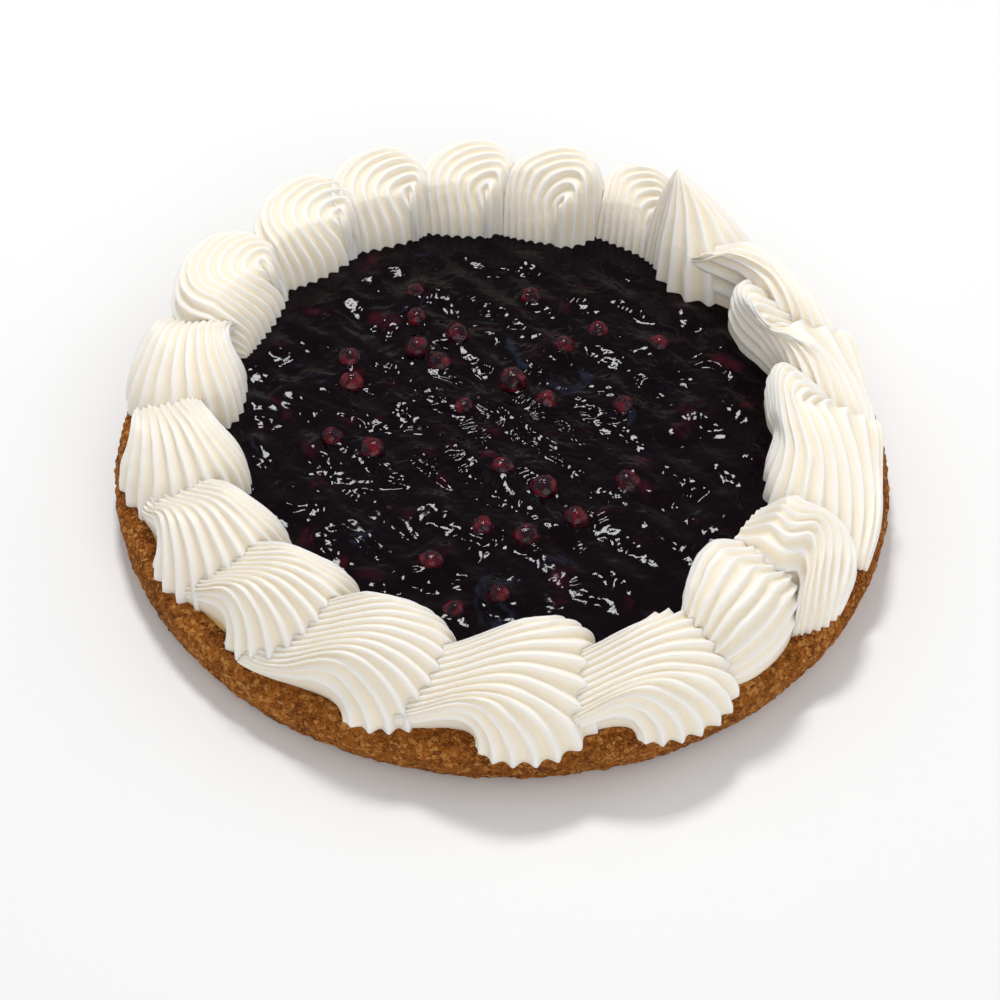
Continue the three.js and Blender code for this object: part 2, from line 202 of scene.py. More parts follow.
def finish_shader(nodes, principled, constants, colour=None, roughness=None, bumps=()):
    """Sets the shader's constants and links what varies over the surface."""
    for key, value in constants.items():
        principled.inputs[key].default_value = value
    if colour is not None:
        nodes.tree.links.new(colour.socket, principled.inputs["Base Color"])
    if roughness is not None:
        nodes.tree.links.new(roughness.socket, principled.inputs["Roughness"])
    normal = None
    for height, distance in bumps:
        values = {"Height": height, "Distance": distance, "Strength": 1.0}
        if normal is not None:
            values["Normal"] = normal
        normal = nodes.add("ShaderNodeBump", {}, values)
    if normal is not None:
        nodes.tree.links.new(normal.socket, principled.inputs["Normal"])


def geometry_tree(name, sizes):
    """A geometry tree with a geometry input and named number inputs; returns it and its wires."""
    tree = bpy.data.node_groups.new(name, "GeometryNodeTree")
    tree.interface.new_socket("Geometry", in_out="INPUT", socket_type="NodeSocketGeometry")
    for label in sizes:
        tree.interface.new_socket(label, in_out="INPUT", socket_type="NodeSocketFloat")
    tree.interface.new_socket("Geometry", in_out="OUTPUT", socket_type="NodeSocketGeometry")
    nodes = Nodes(tree)
    first = nodes.add("NodeGroupInput")
    wires = {s.name: Wire(nodes, s) for s in first.socket.node.outputs if s.name}
    return tree, nodes, wires


def end_tree(nodes, geometry, material):
    """Ends a geometry tree in real mesh with its material."""
    dressed = nodes.add(
        "GeometryNodeSetMaterial", {}, {"Geometry": nodes.real(geometry), "Material": material})
    nodes.add("NodeGroupOutput", {}, {"Geometry": dressed})


def grown(name, base, tree, sizes):
    """The plain mesh object that a geometry tree makes of a base mesh."""
    seed = bpy.data.objects.new(name + "_base", base)
    bpy.context.scene.collection.objects.link(seed)
    modifier = seed.modifiers.new(name, "NODES")
    modifier.node_group = tree
    for item in tree.interface.items_tree:
        if item.in_out == "INPUT" and item.name in sizes:
            modifier[item.identifier] = float(sizes[item.name])
    bpy.context.view_layer.update()
    graph = bpy.context.evaluated_depsgraph_get()
    mesh = bpy.data.meshes.new_from_object(
        seed.evaluated_get(graph), preserve_all_data_layers=True, depsgraph=graph
    )
    bpy.data.objects.remove(seed)
    bpy.data.meshes.remove(base)
    return placed(name, mesh)


def placed(name, mesh):
    """A piece of that mesh, smooth shaded, at the origin."""
    mesh.name = name
    mesh.polygons.foreach_set("use_smooth", [True] * len(mesh.polygons))
    piece = bpy.data.objects.new(name, mesh)
    bpy.context.scene.collection.objects.link(piece)
    return piece


def attach(piece, slot, *nodes):
    """The piece rides on the cake's body and stands for those CAD nodes."""
    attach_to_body(piece, "root")
    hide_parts(*nodes)


def add_attribute(mesh, name, values, kind="FLOAT"):
    """Keeps a value or a direction at every point of a mesh."""
    layer = mesh.attributes.new(name, kind, "POINT")
    key = "value" if kind == "FLOAT" else "vector"
    layer.data.foreach_set(key, np.asarray(values, np.float32).ravel())


# ---------------------------------------------------------------- shape helpers
def mix(low, high, part):
    """The value that lies that part of the way from low to high."""
    return low + (high - low) * part


def smooth(value, low, high):
    """0 below low, 1 above high, smooth in between."""
    part = np.clip((value - low) / (high - low), 0.0, 1.0)
    return part * part * (3.0 - 2.0 * part)


def foot(value, power):
    """1 at the middle, falling like a rounded shoulder to 0 at value 1."""
    return np.sqrt(np.maximum(0.0, 1.0 - np.maximum(value, 0.0) ** power))


def turned(profile, segments):
    """A closed mesh turned round the Z axis; profile runs from axis to axis, in mm."""
    points, rings, faces = [], [], []
    angles = np.arange(segments) * 2.0 * math.pi / segments
    for radius, height in profile:
        if radius <= 0.0:
            rings.append([len(points)])
            points.append((0.0, 0.0, height * MM))
            continue
        rings.append(list(range(len(points), len(points) + segments)))
        points.extend(
            (radius * MM * math.cos(a), radius * MM * math.sin(a), height * MM) for a in angles
        )
    for low, high in zip(rings, rings[1:]):
        for i in range(segments):
            j = (i + 1) % segments
            if len(low) == 1:
                faces.append((low[0], high[j], high[i]))
            elif len(high) == 1:
                faces.append((low[i], low[j], high[0]))
            else:
                faces.append((low[i], low[j], high[j], high[i]))
    mesh = bpy.data.meshes.new("turned")
    mesh.from_pydata(points, [], faces)
    return mesh


def curve_through(corners, step):
    """Points on a rounded line through corners (Catmull-Rom), about step mm apart."""
    corners = np.array(corners, float)
    padded = np.vstack([2 * corners[0] - corners[1], corners, 2 * corners[-1] - corners[-2]])
    out = []
    for a, b, c, d in zip(padded, padded[1:], padded[2:], padded[3:]):
        count = max(1, int(np.linalg.norm(c - b) / step))
        for u in np.arange(count) / count:
            out.append(
                0.5 * (2 * b + (c - a) * u + (2 * a - 5 * b + 4 * c - d) * u**2
                       + (3 * b - a - 3 * c + d) * u**3)
            )
    out.append(corners[-1])
    return [tuple(p) for p in out]


def stand_height(radius):
    """Level that the cream stands on: gel, then the sloping filling, then the rim."""
    part = np.clip((radius - GEL_R) / (RIM_R - GEL_R), 0.0, 1.0)
    return mix(STAND_IN, STAND_OUT, part) - SHOULDER_FALL * np.maximum(0.0, radius - SHOULDER_R)


# ---------------------------------------------------------------- settings
class CheesecakeSizes(bpy.types.PropertyGroup):
    crumb_size: bpy.props.FloatProperty(
        name="Crumb size", description="Width of one crumb of the crust",
        default=0.0016, unit="LENGTH")
    crumb_depth: bpy.props.FloatProperty(
        name="Crumb depth", description="How far crumbs stand out of the crust wall",
        default=0.0011, unit="LENGTH")
    gel_lump: bpy.props.FloatProperty(
        name="Gel lump height", description="Height of the lumps in the gel",
        default=0.0011, unit="LENGTH")
    gel_wrinkle: bpy.props.FloatProperty(
        name="Gel wrinkle height", description="Height of the fine wrinkles in the gel",
        default=0.00062, unit="LENGTH")
    gel_flat_radius: bpy.props.FloatProperty(
        name="Flat gel radius", description="Outside this radius the gel lies flat",
        default=0.085, unit="LENGTH")
    berry_pucker: bpy.props.FloatProperty(
        name="Berry pucker", description="Depth of the wrinkles in a berry's skin",
        default=0.00035, unit="LENGTH")
    ridge_scale: bpy.props.FloatProperty(
        name="Ridge depth", description="Scales the depth of the ridges in the cream",
        default=1.0, subtype="FACTOR", soft_max=2.0)
    ridge_round: bpy.props.FloatProperty(
        name="Ridge rounding", description="How blunt the crest of a cream ridge is",
        default=0.26, subtype="FACTOR", soft_max=1.0)
    cream_grain: bpy.props.FloatProperty(
        name="Cream unevenness", description="Height of the small dents in the cream",
        default=0.00022, unit="LENGTH")


class CheesecakeColours(bpy.types.PropertyGroup):
    cream: bpy.props.FloatVectorProperty(
        name="Cream", description="Colour of the cream on its crests",
        default=(0.900, 0.864, 0.812), subtype="COLOR")
    # Painted shade: this pale yellow stands in for light bouncing and scattering in the valleys
    # between ridges.
    cream_valley_shade: bpy.props.FloatVectorProperty(
        name="Cream valley shade", description="Colour of the cream between ridges",
        default=(0.895, 0.808, 0.645), subtype="COLOR")
    crust: bpy.props.FloatVectorProperty(
        name="Crust", description="Main colour of the baked crumb",
        default=(0.41, 0.128, 0.017), subtype="COLOR")
    crust_light: bpy.props.FloatVectorProperty(
        name="Light crumb", description="Colour of the light crumbs",
        default=(0.70, 0.315, 0.080), subtype="COLOR")
    # Used for the real dark crumbs and also as painted shade in the crevices between crumbs.
    crust_dark_and_pit_shade: bpy.props.FloatVectorProperty(
        name="Dark crumb and pit shade", description="Colour of the dark crumbs and pits",
        default=(0.085, 0.019, 0.002), subtype="COLOR")
    gel: bpy.props.FloatVectorProperty(
        name="Gel", description="Colour of the dark gel",
        default=(0.0026, 0.0007, 0.0018), subtype="COLOR")
    gel_red: bpy.props.FloatVectorProperty(
        name="Red gel", description="Colour of the gel where fruit skin lies near",
        default=(0.040, 0.0035, 0.010), subtype="COLOR")
    # Painted sheen: these pale blue-grey streaks stand in for reflections of the studio light on
    # the gel.
    gel_sheen_blue: bpy.props.FloatVectorProperty(
        name="Blue gel sheen", description="Colour of the thin pale smears in the gel",
        default=(0.020, 0.024, 0.046), subtype="COLOR")
    berry: bpy.props.FloatVectorProperty(
        name="Berry", description="Colour of a berry's skin",
        default=(0.12, 0.004, 0.012), subtype="COLOR")
    filling: bpy.props.FloatVectorProperty(
        name="Filling", description="Colour of the baked filling",
        default=(0.72, 0.47, 0.17), subtype="COLOR")
    floor: bpy.props.FloatVectorProperty(
        name="Floor", description="Colour of the studio floor",
        default=(0.86, 0.86, 0.86), subtype="COLOR")


# ---------------------------------------------------------------- crust and filling
def crust_material(colours):
    """Baked crumb: cells of several browns, with painted shade darkening the crevices between them.
    """
    material, nodes, principled, place = shader("Crumb crust")
    crumbs_per_metre = 780.0
    crust, light, dark = tuple(colours.crust), tuple(colours.crust_light), tuple(colours.crust_dark_and_pit_shade)
    tint = nodes.cells(place, crumbs_per_metre, out="Color")
    pick = nodes.add("ShaderNodeSeparateColor", {}, {"Color": tint})
    fine = nodes.noise(place, 1500.0, 3.0, 0.65)
    broad = nodes.noise(place, 90.0, 3.0, 0.6)
    edge = nodes.cells(place, crumbs_per_metre, feature="DISTANCE_TO_EDGE")
    # Painted shade: the crevices at the cell edges are darkened where shade falls between crumbs.
    pit_shade = edge.between(0.16, 0.02) * broad.between(0.35, 0.7)
    base = nodes.mix(pick.between(0.62, 0.95) * 0.75, crust, light)
    for part, colour in (
        ((0.45 - pick).clamped() * 1.5, dark),
        (fine.between(0.52, 0.72) * 0.5, light),
        (fine.between(0.50, 0.30) * 0.75, dark),
        (pit_shade * 0.8, dark),
    ):
        base = nodes.mix(part, base, colour)
    grain = fine + 0.5 * nodes.noise(place, 3200.0, 2.0, 0.6)
    finish_shader(
        nodes, principled,
        {"Roughness": 0.85, "Specular IOR Level": 0.12},
        colour=base, bumps=[(grain, 0.0009), (edge, 0.0005)])
    return material


def crust_tree(material):
    """Raises crumbs out of the crust wall and rim."""
    tree, nodes, given = geometry_tree("Crumbs", ["Crumb size", "Crumb depth"])
    place = nodes.add("GeometryNodeInputPosition")
    normal = nodes.add("GeometryNodeInputNormal")
    per_metre = 1.0 / given["Crumb size"]
    blobs = nodes.cells(place, per_metre * 0.62)
    small = nodes.noise(place, per_metre * 0.75, 3.0, 0.62)
    broad = nodes.noise(place, per_metre * 0.09, 2.0, 0.5)
    height = (0.55 - blobs) * 0.75 + (small - 0.5) * 1.5 + (broad - 0.5) * 1.3 - 0.12
    push = nodes.scaled(normal, height * nodes.kept("crumbly") * given["Crumb depth"])
    end_tree(nodes, nodes.moved(given["Geometry"], push), material)
    return tree


class CHEESECAKE_OT_crust(bpy.types.Operator):
    """Makes the crumb crust"""

    bl_idname = "cheesecake.crust"
    bl_label = "Make crust"

    def execute(self, context):
        sizes, colours = context.scene.cheesecake_sizes, context.scene.cheesecake_colours
        step, segments, inside = 0.42, 720, RIM_TOP - 0.1
        wall = curve_through(
            [(110.3, 0.0), (112.0, 1.2), (113.7, 5.0), (114.5, 9.5), (114.1, 12.6), (112.2, 14.9),
             (109.3, RIM_TOP), (103.5, RIM_TOP)], step)
        under = [(0.0, 0.0), (60.0, 0.0), (104.0, 0.0)]
        base = turned([*under, *wall, (96.0, inside), (60.0, inside), (0.0, inside)], segments)
        z = np.array([v.co.z for v in base.vertices]) / MM
        r = np.array([v.co.xy.length for v in base.vertices]) / MM
        crumbly = np.where(z > 0.01, smooth(z, 0.0, 0.8), 0.0) * smooth(r, 100.0, 104.0)
        add_attribute(base, "crumbly", crumbly)
        piece = grown(
            "crumb_crust", base, crust_tree(crust_material(colours)),
            {"Crumb size": sizes.crumb_size, "Crumb depth": sizes.crumb_depth})
        attach(piece, "crust", "graham_crust")
        return {"FINISHED"}


class CHEESECAKE_OT_filling(bpy.types.Operator):
    """Makes the baked filling that shows in gaps of the cream"""

    bl_idname = "cheesecake.filling"
    bl_label = "Make filling"

    def execute(self, context):
        colours = context.scene.cheesecake_colours
        material, nodes, principled, place = shader("Baked filling")
        spots = nodes.noise(place, 260.0, 3.0, 0.6)
        browned = (0.50, 0.24, 0.05)
        tint = nodes.mix(spots.between(0.45, 0.7) * 0.5, tuple(colours.filling), browned)
        finish_shader(nodes, principled, {"Roughness": 0.55}, colour=tint, bumps=[(spots, 0.0006)])
        inner, low, high = 91.8, 16.0, 24.6
        shoulder = curve_through([(107.0, low), (100.0, 20.0), (93.0, high), (inner, high)], 1.0)
        mesh = turned([(0.0, low), *shoulder, (inner, 19.0), (0.0, 19.0)], 240)
        mesh.materials.append(material)
        piece = placed("baked_filling", mesh)
        attach(piece, "filling", "cheesecake_filling")
        return {"FINISHED"}


# ---------------------------------------------------------------- gel and berries
# plan place, radius and how far the middle stands over the gel, mm
BERRIES = [
    (-15, 35, 4.2, 1.2), (-47, 23, 4.0, 0.9), (-46, 14, 4.1, 1.1), (2, 16, 4.6, 1.6),
    (12, 8, 3.9, 0.9), (-38, -14, 4.4, 1.2), (-50, -10, 3.7, 0.7), (0, -20, 3.9, 0.9),
    (12, -27, 4.2, 1.2), (46, 35, 3.9, 0.8), (28, 40, 3.6, 0.7), (21, -39, 4.2, 1.3),
    (7, -47, 4.0, 0.9), (-12, -74, 3.6, 0.5), (0, -69, 3.4, 0.5), (-19, -57, 4.0, 0.8),
    (-28, 43, 3.6, 0.6), (-27, 29, 4.1, 1.0), (-20, 23, 3.7, 0.7), (17, 32, 3.7, 0.7),
    (35, 7, 3.6, 0.7), (36, -24, 4.1, 0.9), (-5, -43, 3.7, 0.7), (-12, 5, 3.5, 0.5),
    (-29, 55, 3.4, 0.5), (7, 54, 3.5, 0.6),
]


def gel_rise(x, y, sizes):
    """Height of the lumpy gel over its level, in mm, x and y in mm."""
    lump = sizes.gel_lump / MM
    z = lump * (
        0.40 * np.sin(0.21 * x + 0.9 * np.sin(0.17 * y))
        + 0.35 * np.sin(0.27 * y + 1.3 * np.sin(0.15 * x + 1.0))
        + 0.25 * np.sin(0.43 * (x + y))
    )
    for bx, by, radius, _ in BERRIES:
        z = z + 0.9 * np.exp(-((x - bx) ** 2 + (y - by) ** 2) / (1.6 * radius * radius))
    edge, margin = sizes.gel_flat_radius / MM, 14.0
    return z * (1.0 - smooth(np.hypot(x, y), edge - margin, edge))


def gel_material(colours):
    """Nearly black jelly, red where skins lie near, with a wet gloss and a painted sheen of pale
    blue-grey streaks that stand in for reflections.
    """
    material, nodes, principled, place = shader("Dark gel")
    deep = nodes.noise(place, 85.0, 3.0, 0.55, 0.6)
    skins = nodes.cells(place, 105.0)
    red = (deep.between(0.52, 0.72) * skins.between(0.55, 0.15)).clamped()
    tint = nodes.mix(red * 0.9, tuple(colours.gel), tuple(colours.gel_red))
    # Painted sheen: blue-grey streaks are put into the colour where reflections would show.
    painted_sheen = nodes.noise(place, 42.0, 4.0, 0.6, 1.8)
    tint = nodes.mix(painted_sheen.between(0.60, 0.74) * 0.7, tint, tuple(colours.gel_sheen_blue))
    calm = nodes.noise(place, 40.0, 2.0, 0.5)
    rough = 0.05 + 0.07 * calm.between(0.45, 0.75)
    fine = nodes.noise(place, 420.0, 2.0, 0.5)
    finish_shader(
        nodes, principled,
        {"IOR": 1.42, "Specular IOR Level": 0.12},
        colour=tint, roughness=rough, bumps=[(fine, 0.00008)])
    return material


def gel_tree(material):
    """Draws the gel into lumps, smears and fine wrinkles."""
    tree, nodes, given = geometry_tree("Gel wrinkles", ["Lump height", "Wrinkle height"])
    place = nodes.add("GeometryNodeInputPosition")
    buried = nodes.cells(place, 108.0, feature="SMOOTH_F1")
    smear = nodes.noise(place, 95.0, 3.0, 0.6, 1.4)
    fold = 1.0 - ((smear - 0.5) * 5.0).math("ABSOLUTE").clamped()
    fine = nodes.noise(place, 230.0, 3.0, 0.6, 0.8)
    height = (0.45 - buried) * 1.5 * given["Lump height"] + (
        (fold - 0.3) * 0.8 + (fine - 0.5) * 1.2) * given["Wrinkle height"]
    shift = nodes.add("ShaderNodeCombineXYZ", {}, {"Z": height * nodes.kept("wrinkled")})
    end_tree(nodes, nodes.moved(given["Geometry"], shift), material)
    return tree


class CHEESECAKE_OT_gel(bpy.types.Operator):
    """Makes the dark gel"""

    bl_idname = "cheesecake.gel"
    bl_label = "Make gel"

    def execute(self, context):
        sizes, colours = context.scene.cheesecake_sizes, context.scene.cheesecake_colours
        side_top, ring_step, segments = 25.1, 0.62, 500
        low = [(0.0, GEL_BOTTOM), (GEL_R, GEL_BOTTOM), (GEL_R, side_top)]
        rings = [(r, GEL_TOP) for r in (90.8, 88.5, *np.arange(86.0, 0.5, -ring_step))]
        base = turned([*low, *rings, (0.0, GEL_TOP)], segments)
        co = np.array([v.co for v in base.vertices]) / MM
        radius = np.hypot(co[:, 0], co[:, 1])
        top = co[:, 2] > (side_top + GEL_TOP) / 2
        co[:, 2] += np.where(top, gel_rise(co[:, 0], co[:, 1], sizes), 0.0)
        base.vertices.foreach_set("co", (co * MM).ravel())
        round_angle = np.arctan2(co[:, 1], co[:, 0])
        uneven = sizes.gel_flat_radius / MM + 3.0 * np.sin(3 * round_angle + 0.5)
        calmed = 0.93 * smooth(radius, uneven - 12.0, uneven)
        add_attribute(base, "wrinkled", np.where(top, 1.0 - calmed, 0.0))
        piece = grown(
            "dark_gel", base, gel_tree(gel_material(colours)),
            {"Lump height": sizes.gel_lump, "Wrinkle height": sizes.gel_wrinkle})
        attach(piece, "gel", "blueberry_gel")
        return {"FINISHED"}


def berry_material(colours):
    """Cooked berry skin: dark red, blotched, wet."""
    material, nodes, principled, place = shader("Berry skin")
    blotch = nodes.noise(place, 330.0, 3.0, 0.6)
    darkest = (0.012, 0.002, 0.006)
    tint = nodes.mix(blotch.between(0.42, 0.68), darkest, tuple(colours.berry))
    crease = nodes.noise(place, 900.0, 2.0, 0.5)
    finish_shader(
        nodes, principled,
        {"Roughness": 0.12, "IOR": 1.42, "Specular IOR Level": 0.3},
        colour=tint, bumps=[(crease, 0.0003)])
    return material


def berry_tree(material):
    """Sets one puckered berry at every point, turned and sized by the point's values."""
    tree, nodes, given = geometry_tree("Berries", ["Pucker"])
    ball = nodes.add(
        "GeometryNodeMeshUVSphere", {}, {"Segments": 30, "Rings": 20, "Radius": 1.0})
    size, turn = nodes.kept("size"), nodes.kept("turn", "FLOAT_VECTOR")
    stretch = nodes.add(
        "ShaderNodeCombineXYZ", {}, {"X": size, "Y": size * 0.97, "Z": size * 0.93})
    rotation = nodes.add("FunctionNodeEulerToRotation", {}, {"Euler": turn})
    sown = nodes.add(
        "GeometryNodeInstanceOnPoints", {},
        {"Points": given["Geometry"], "Instance": ball, "Rotation": rotation, "Scale": stretch})
    place = nodes.add("GeometryNodeInputPosition")
    normal = nodes.add("GeometryNodeInputNormal")
    pucker = nodes.noise(place, 260.0, 2.0, 0.5) - 0.5
    push = nodes.scaled(normal, pucker * given["Pucker"] * 4.0)
    end_tree(nodes, nodes.moved(nodes.real(sown), push), material)
    return tree


class CHEESECAKE_OT_berries(bpy.types.Operator):
    """Makes the berries that stand out of the gel"""

    bl_idname = "cheesecake.berries"
    bl_label = "Make berries"

    def execute(self, context):
        sizes, colours = context.scene.cheesecake_sizes, context.scene.cheesecake_colours
        points, turns = [], []
        for i, (x, y, radius, up) in enumerate(BERRIES):
            rise = float(gel_rise(np.float64(x), np.float64(y), sizes))
            height = GEL_TOP + rise - BERRY_SUNK * radius + up
            points.append((x * MM, y * MM, height * MM))
            turns.append((0.9 * math.sin(5.1 * i), 0.9 * math.cos(3.7 * i), 1.9 * i))
        base = bpy.data.meshes.new("berry places")
        base.from_pydata(points, [], [])
        add_attribute(base, "size", [b[2] * MM for b in BERRIES])
        add_attribute(base, "turn", turns, "FLOAT_VECTOR")
        tree = berry_tree(berry_material(colours))
        piece = grown("berries", base, tree, {"Pucker": sizes.berry_pucker})
        names = [f"blueberry_{i + 1:02d}" for i in range(BERRY_COUNT)]
        attach(piece, "berry", *names)
        return {"FINISHED"}


# ---------------------------------------------------------------- piped cream
# Each shell is a sheet of nozzle strokes: s runs along a stroke, t = -1..1 across them
# (+1 toward the middle of the cake).  Plan places are (a, b): a along the piping, b inward
# from BORDER_R.  'way' is -1 when strokes run clockwise seen from above.  Headings in degrees.
# Shells are listed clockwise from the one right of the peak; each spans two angles in degrees.
def leaf(first, last, start, width, head, size, **given):
    """A shell whose strokes leave a narrow tail and part over a round head."""
    return {"kind": "leaf", "az": (first, last), "way": 1, "start": start, "width": width,
            "head": head, "size": size, "edge": (-140, 150), "lean": 0.4, "high": 22,
            "ridges": 17, **given}


def curl(first, last, **given):
    """A shell whose strokes bend round a small eye; pairs hold the inner and the outer stroke."""
    return {"kind": "curl", "az": (first, last), "way": -1, "end": (0, 0), "ridges": 10, **given}


def ribbon(first, last, *guides, **given):
    """A twisted shell laid between guide lines; 'open' is where along it the outside lifts off."""
    return {"kind": "ribbon", "az": (first, last), "way": -1, "guides": guides, "ridges": 11,
            "open": (-1, 0), "blunt": 6, **given}


SHELLS = [
    ribbon(17.6, 42.0,
           [(-34, -6), (-24, -11), (-12, -13), (0, -13), (12, -13), (22, -12)],
           [(-32, 8), (-19, 6), (-8, 2), (3, 0), (13, 0), (22, -1)],
           [(-31, 16), (-18, 15), (-10, 11), (-1, 8), (8, 7), (16, 6)],
           [(-40, 12), (-32, 15), (-24, 15), (-16, 12), (-7, 10), (3, 10)], high=23),
    ribbon(353.5, 377.6,
           [(-26, -8), (-24, -11), (-20, -13), (-10, -14), (0, -14), (14, -14)],
           [(-22, -5), (-22, 7), (-21, 14), (-13, 10), (-4, 1), (14, -6)],
           [(-27, 0), (-29, 13), (-28, 20), (-18, 18), (-9, 10), (9, 4)],
           [(-38, 0), (-42, 11), (-40, 18), (-29, 20), (-16, 15), (-5, 11)],
           [(-48, -2), (-53, 5), (-49, 15), (-36, 20), (-24, 17), (-12, 13)],
           open=(0.35, 0.75), high=21, ridges=13),
    ribbon(333.9, 353.5,
           [(-30, -9), (-27, -11), (-22, -13), (-14, -14), (-2, -16), (12, -17)],
           [(-27, -5), (-25, 2), (-21, 6), (-14, 2), (-2, -4), (15, -10)],
           [(-27, 0), (-26, 9), (-21, 14), (-11, 11), (3, 5), (19, 1)],
           [(-36, 4), (-37, 14), (-29, 19), (-15, 18), (-2, 14), (16, 13)],
           [(-46, 6), (-48, 14), (-42, 21), (-30, 22), (-22, 19), (-10, 22)],
           open=(0.35, 0.75), blunt=3.5, high=21, ridges=14),
    ribbon(317.6, 333.9,
           [(-11, 14), (-14, 9), (-17, 3), (-18, -4), (-18, -11), (-12, -15), (-3, -17)],
           [(-3, 14), (-5, 9), (-5, 3), (-11, -3), (-10, -8), (-3, -12), (4, -16)],
           [(4, 14), (3, 8), (3, 1), (-4, -3), (-2, -7), (4, -10), (9, -13)],
           [(11, 14), (12, 7), (10, -1), (5, -4), (6, -7), (9, -9), (12, -11)],
           blunt=3.5, high=20, ridges=10),
    ribbon(302.7, 317.6,
           [(-20, -8), (-14, -11), (-8, -13), (-2, -14), (4, -14), (12, -12)],
           [(-20, -4), (-12, -6), (-4, -8), (3, -9), (8, -9), (13, -8)],
           [(-18, 0), (-8, 0), (0, -2), (5, -3), (10, -4), (14, -4)],
           [(-18, 7), (-6, 8), (3, 6), (9, 3), (13, 1), (15, 0)],
           [(-22, 14), (-14, 18), (-3, 17), (6, 12), (11, 7), (15, 4)], blunt=4, high=21),
    leaf(282.7, 302.7, (-34, -6), 10, (8, -8), (16, 16), lean=0.1),
    leaf(260.9, 282.7, (-34, -5), 10, (9, -4), (16.5, 18.5), lean=0.3),
    leaf(241.6, 260.9, (-34, -4.5), 10.5, (4, -1), (17, 16), edge=(-105, 150), lean=0.2),
    leaf(225.0, 241.6, (-34, -2.5), 10.5, (2, 2), (16.5, 16), edge=(-112, 150)),
    leaf(207.6, 225.0, (-34, -1.5), 10.5, (0, 2), (16, 17), edge=(-120, 150)),
    leaf(186.1, 207.6, (-38, -2), 12, (-2, 3), (18, 18.5), edge=(-125, 150)),
    leaf(162.4, 186.1, (-38, 0), 14, (-2, 2), (20, 21), edge=(-125, 150)),
    curl(139.6, 162.4, mid=(8, 6.5), outer=(3, 5), r=(0.05, 28), heading=(-140, -112),
         to=(95, 22), leg=(8, 3), end=(6, 2), high=29, ridges=11),
    curl(121.9, 139.6, mid=(7.6, 6), outer=(3, 5), r=(0.05, 26), heading=(-140, -100),
         to=(95, 20), leg=(7, 0), end=(6, 2), high=32),
    curl(107.4, 121.9, mid=(6.1, 6.2), outer=(0, 5), r=(0.05, 24), heading=(-125, -95),
         to=(95, 20), leg=(6, 0), end=(6, 2), high=34),
    curl(92.0, 107.4, mid=(7, 8.5), outer=(5, 7), r=(0.05, 24), heading=(-112, -90),
         to=(95, 20), leg=(6, 0), end=(6, 2), high=32.5),
    curl(74.4, 92.0, mid=(6, 12), outer=(6, 12), r=(0.05, 24), heading=(-108, -90),
         to=(95, 20), leg=(4, 0), end=(5, 2), high=32.5),
    curl(60.3, 74.4, mid=(14, 8.5), outer=(-4, -4), r=(3, 8), heading=(-105, -90),
         to=(0, 0), leg=(2, 12), end=(4, 18), high=31),
    {"kind": "peak", "az": (42.0, 60.3), "way": -1, "ridges": 24, "tail": (-11, 3),
     "ahead": 32, "inward": 9, "outward": 16, "behind": 5, "bend": 2, "high": 34},
]


def curl_strokes(c, s, t):
    """Strokes that rise from teeth on the gel and bend round a small curl."""
    u = (1 - t) / 2
    r = mix(*c["r"], u)
    h0, h1 = np.radians(mix(*c["heading"], u)), np.radians(mix(*c["to"], u))
    leg, out = mix(*c["leg"], u), mix(*c["end"], u)
    d = s * (r * (h1 - h0) + leg + out)
    h = np.clip(h0 + (d - leg) / r, h0, h1)
    before = np.maximum(0.0, leg - d)
    after = np.maximum(0.0, d - leg - r * (h1 - h0))
    x, y = (mix(near, far, u) for near, far in zip(c["mid"], c["outer"]))
    squash = 0.8
    return (
        x + r * np.sin(h) - before * np.cos(h0) + after * np.cos(h),
        y - squash * r * np.cos(h) - before * np.sin(h0) + after * np.sin(h),
    )


def leaf_strokes(c, s, t):
    """Strokes that leave a narrow tail side by side and part over a round head."""
    spread = 0.995
    turn = np.arcsin(spread * t) / math.asin(spread)
    edge = np.radians(mix(*c["edge"], (1 + turn) / 2))
    a0, b0 = c["start"][0] + 0 * t, c["start"][1] + c["width"] * t
    b1 = c["head"][1] + c["size"][1] * np.sin(edge)
    a1 = c["head"][0] + c["size"][0] * np.cos(edge) + c["lean"] * (b1 - c["head"][1])
    far = np.hypot(a1 - a0, b1 - b0)
    h0, h1 = np.radians(6 * t), 0.65 * edge
    leave, arrive = 0.9, 1.2
    at0, at1 = 1 - s * s * (3 - 2 * s), s * s * (3 - 2 * s)
    go0, go1 = far * s * (1 - s) ** 2 * leave, -far * s * s * (1 - s) * arrive
    return (
        at0 * a0 + at1 * a1 + go0 * np.cos(h0) + go1 * np.cos(h1),
        at0 * b0 + at1 * b1 + go0 * np.sin(h0) + go1 * np.sin(h1),
    )


def blending(where, count):
    """Weights that run smoothly through count places (Catmull-Rom) at positions 0..1."""
    at = np.clip(where, 0, 1) * (count - 1)
    first = np.minimum(at.astype(int), count - 2)
    u = at - first
    parts = (-u + 2 * u**2 - u**3, 2 - 5 * u**2 + 3 * u**3, u + 4 * u**2 - 3 * u**3, u**3 - u**2)
    weights = np.zeros((len(at), count))
    rows = np.arange(len(at))
    for k, part in enumerate(parts):
        place = np.clip(first + k - 1, 0, count - 1)
        np.add.at(weights, (rows, place), part / 2)
    return weights


def ribbon_strokes(c, s, t):
    """Strokes between guide lines, listed from the rim side to the gel side."""
    guides = np.array(c["guides"], float)
    along = blending(s[:, 0], guides.shape[1])
    over = blending((t[0] + 1) / 2, guides.shape[0])
    return np.einsum("rp,gpk,cg->krc", along, guides, over)


